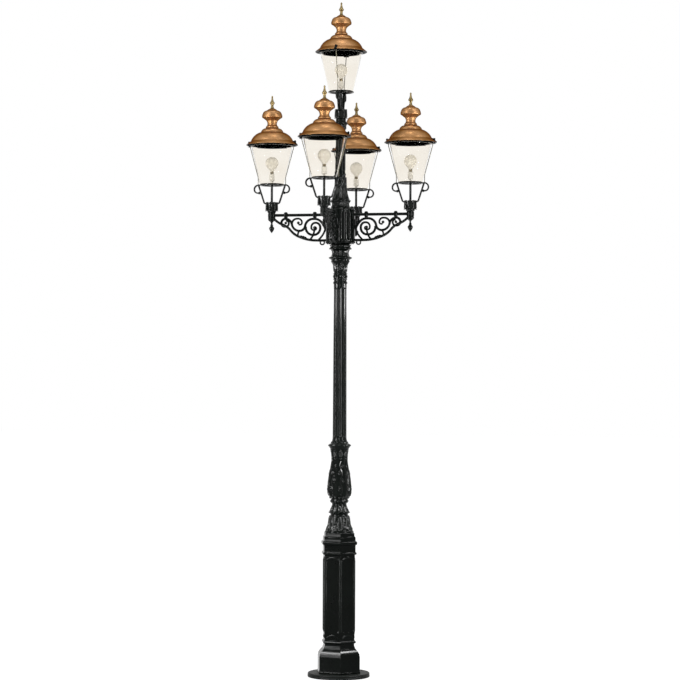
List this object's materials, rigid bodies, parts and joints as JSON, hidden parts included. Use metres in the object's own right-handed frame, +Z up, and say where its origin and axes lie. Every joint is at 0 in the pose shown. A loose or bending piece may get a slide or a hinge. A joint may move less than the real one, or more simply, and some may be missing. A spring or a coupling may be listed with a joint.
{
  "type": "five-head lamp post",
  "caption": "Tall cast lamp post with scrolled arms, glass lanterns under hinged copper hoods and one more lantern on a spire above them.",
  "frame": {"origin": "centre of the base plate's underside", "axes": "+Z up the column; the four arms point along +X, -X, +Y and -Y; -Y is the front of the picture"},
  "size_m": [1.398, 1.398, 4.85],
  "materials": {
    "iron": "gloss black paint over cast iron",
    "door_paint": "gloss black paint",
    "lantern_paint": "gloss black paint",
    "tube_steel": "galvanised",
    "bright_steel": "zinc plated",
    "stay_steel": "dull plated rod",
    "bolt_paint": "painted over with the arm",
    "copper": "spun copper, satin, black inside",
    "brass": "aged brass",
    "shade_glass": "clear",
    "lamp_glass": "opal globe with a metal screw cap",
    "porcelain": "glazed porcelain",
    "box_plastic": "grey moulding"
  },
  "bodies": {
    "post": {"arm_front": "iron", "arm_hub": "iron", "arm_left": "iron", "arm_rear": "iron", "arm_right": "iron", "base_plate": "iron", "bracket_bolts": "bolt_paint", "bulb_front": "lamp_glass", "bulb_left": "lamp_glass", "bulb_rear": "lamp_glass", "bulb_right": "lamp_glass", "bulb_top": "lamp_glass", "capital": "iron", "cradle_front": "lantern_paint", "cradle_left": "lantern_paint", "cradle_rear": "lantern_paint", "cradle_right": "lantern_paint", "cradle_top": "lantern_paint", "door_hinge_pins": "bright_steel", "fluted_shaft": "iron", "fuse_box": "box_plastic", "gallery_ring_front": "lantern_paint", "gallery_ring_left": "lantern_paint", "gallery_ring_rear": "lantern_paint", "gallery_ring_right": "lantern_paint", "gallery_ring_top": "lantern_paint", "glass_front": "shade_glass", "glass_left": "shade_glass", "glass_rear": "shade_glass", "glass_right": "shade_glass", "glass_top": "shade_glass", "hood_hinge_pins": "bright_steel", "lamp_holders": "porcelain", "mast_tube": "tube_steel", "pedestal_cap": "iron", "pedestal_plinth": "iron", "pedestal_shaft": "iron", "pendant_finials": "iron", "spire_foot": "iron", "spire_tube": "iron", "stay_rods": "stay_steel", "urn_baluster": "iron", "urn_foot": "iron"},
    "door": {"service_door": "door_paint"},
    "lock": {"door_lock": "bright_steel"},
    "left_hood": {"hood_left": "copper", "finial_left": "brass"},
    "left_screw": {"thumb_screw_left": "brass"},
    "right_hood": {"hood_right": "copper", "finial_right": "brass"},
    "right_screw": {"thumb_screw_right": "brass"},
    "front_hood": {"hood_front": "copper", "finial_front": "brass"},
    "front_screw": {"thumb_screw_front": "brass"},
    "rear_hood": {"hood_rear": "copper", "finial_rear": "brass"},
    "rear_screw": {"thumb_screw_rear": "brass"},
    "top_hood": {"hood_top": "copper", "finial_top": "brass"},
    "top_screw": {"thumb_screw_top": "brass"}
  },
  "joints": [
    {"name": "door_hinge", "type": "hinge", "parent": "post", "child": "door", "pos_m": [0.06968, 0.09988, 0.58], "axis": [0, 0, -1], "range_deg": [0, 110]},
    {"name": "lock_turn", "type": "hinge", "parent": "door", "child": "lock", "pos_m": [-0.00368, 0.10602, 0.58], "axis": [0.2113, 0.9774, 0], "range_deg": [0, 90]},
    {"name": "left_hood_hinge", "type": "hinge", "parent": "post", "child": "left_hood", "pos_m": [-0.685, 0, 3.819], "axis": [0, -1, 0], "range_deg": [0, 100]},
    {"name": "left_screw_turn", "type": "hinge", "parent": "left_hood", "child": "left_screw", "pos_m": [-0.34, 0, 3.848], "axis": [0, 0, 1], "continuous": true},
    {"name": "right_hood_hinge", "type": "hinge", "parent": "post", "child": "right_hood", "pos_m": [0.685, 0, 3.819], "axis": [0, 1, 0], "range_deg": [0, 100]},
    {"name": "right_screw_turn", "type": "hinge", "parent": "right_hood", "child": "right_screw", "pos_m": [0.34, 0, 3.848], "axis": [0, 0, 1], "continuous": true},
    {"name": "front_hood_hinge", "type": "hinge", "parent": "post", "child": "front_hood", "pos_m": [-0.173, -0.512, 3.819], "axis": [0, -1, 0], "range_deg": [0, 100]},
    {"name": "front_screw_turn", "type": "hinge", "parent": "front_hood", "child": "front_screw", "pos_m": [0.172, -0.512, 3.848], "axis": [0, 0, 1], "continuous": true},
    {"name": "rear_hood_hinge", "type": "hinge", "parent": "post", "child": "rear_hood", "pos_m": [0.173, 0.512, 3.819], "axis": [0, 1, 0], "range_deg": [0, 100]},
    {"name": "rear_screw_turn", "type": "hinge", "parent": "rear_hood", "child": "rear_screw", "pos_m": [-0.172, 0.512, 3.848], "axis": [0, 0, 1], "continuous": true},
    {"name": "top_hood_hinge", "type": "hinge", "parent": "post", "child": "top_hood", "pos_m": [0, 0.173, 4.482], "axis": [-1, 0, 0], "range_deg": [0, 100]},
    {"name": "top_screw_turn", "type": "hinge", "parent": "top_hood", "child": "top_screw", "pos_m": [0, -0.172, 4.511], "axis": [0, 0, 1], "continuous": true}
  ]
}
